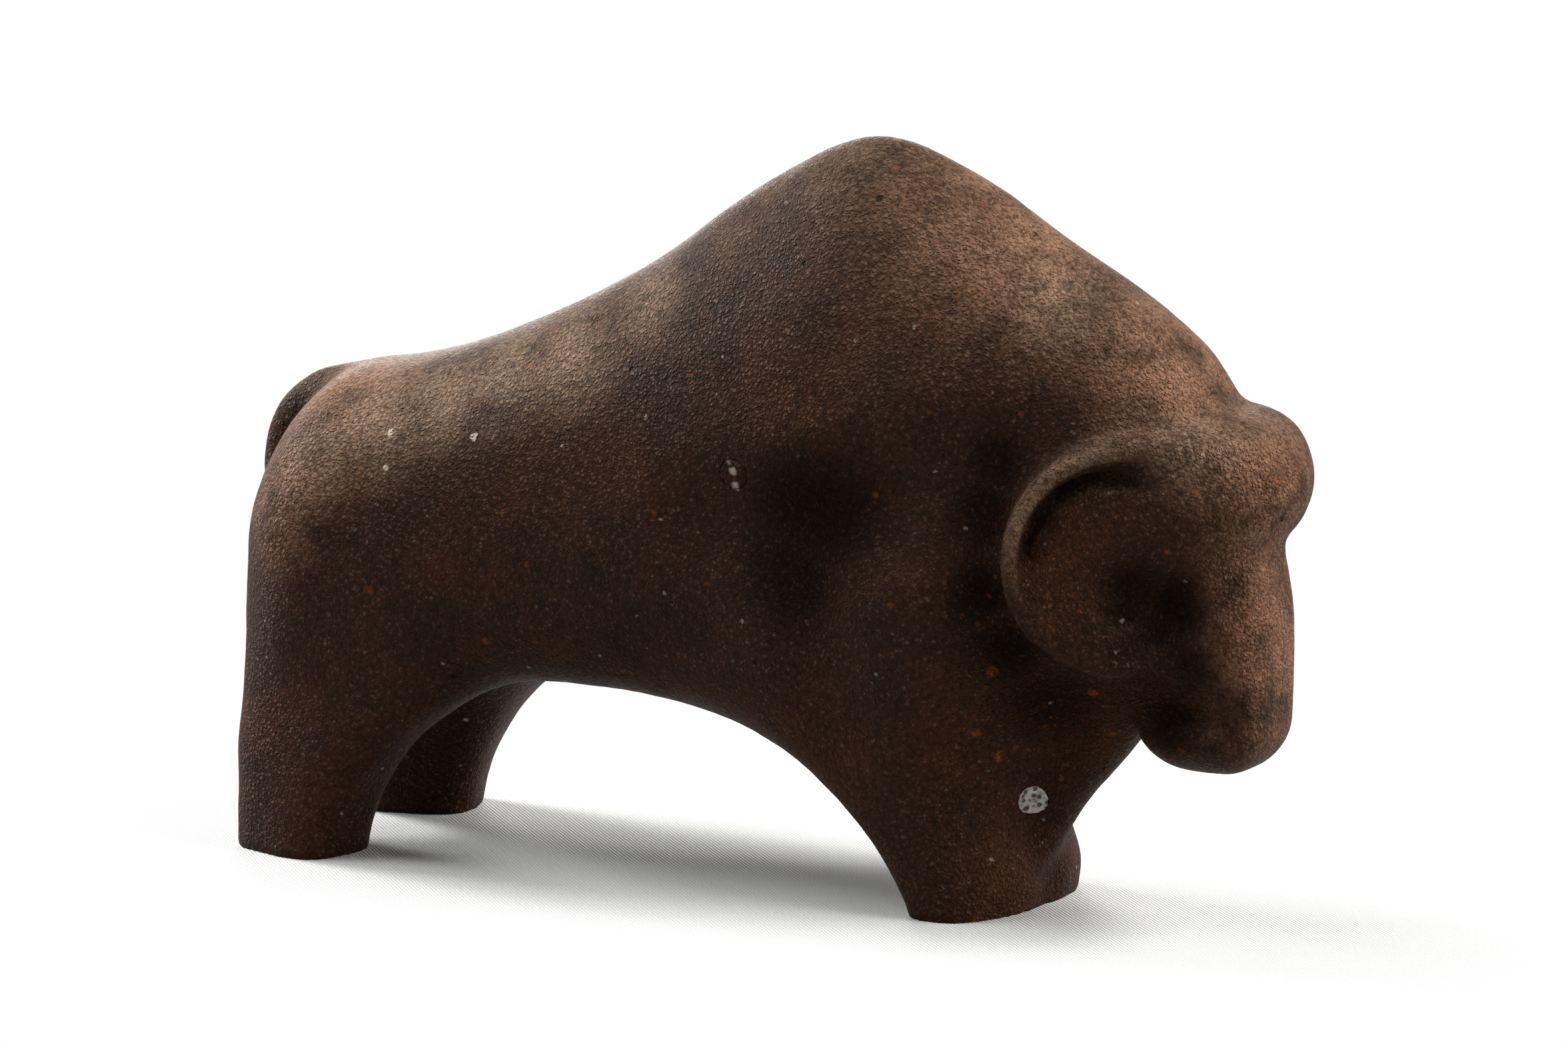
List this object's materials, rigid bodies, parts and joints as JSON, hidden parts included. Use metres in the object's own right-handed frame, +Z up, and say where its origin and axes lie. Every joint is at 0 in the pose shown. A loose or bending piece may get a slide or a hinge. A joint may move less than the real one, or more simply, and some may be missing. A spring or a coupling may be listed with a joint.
{
  "type": "cast buffalo sculpture",
  "caption": "Stylised standing buffalo, cast hollow, with a peaked hump, a curled-horn head held low, short merged front legs and two separate hind legs.",
  "frame": {"origin": "centre of the bounding box in X and Y, on the plane that the feet stand on", "axes": "+X towards the head, +Y to the animal's left, +Z up"},
  "size_m": [0.209, 0.062, 0.1346],
  "materials": {
    "bronze_patina": "sand-cast copper alloy with a dark brown patina, matt and grainy, with small orange flecks",
    "plug_grey": "bare pitted pin end, pale grey"
  },
  "bodies": {
    "root": {"body_casting": "bronze_patina", "chest_plug_right": "plug_grey", "chest_plug_left": "plug_grey", "flank_plug_right": "bronze_patina", "flank_plug_left": "bronze_patina", "rump_plug": "bronze_patina", "belly_core_plug": "bronze_patina"}
  },
  "joints": []
}
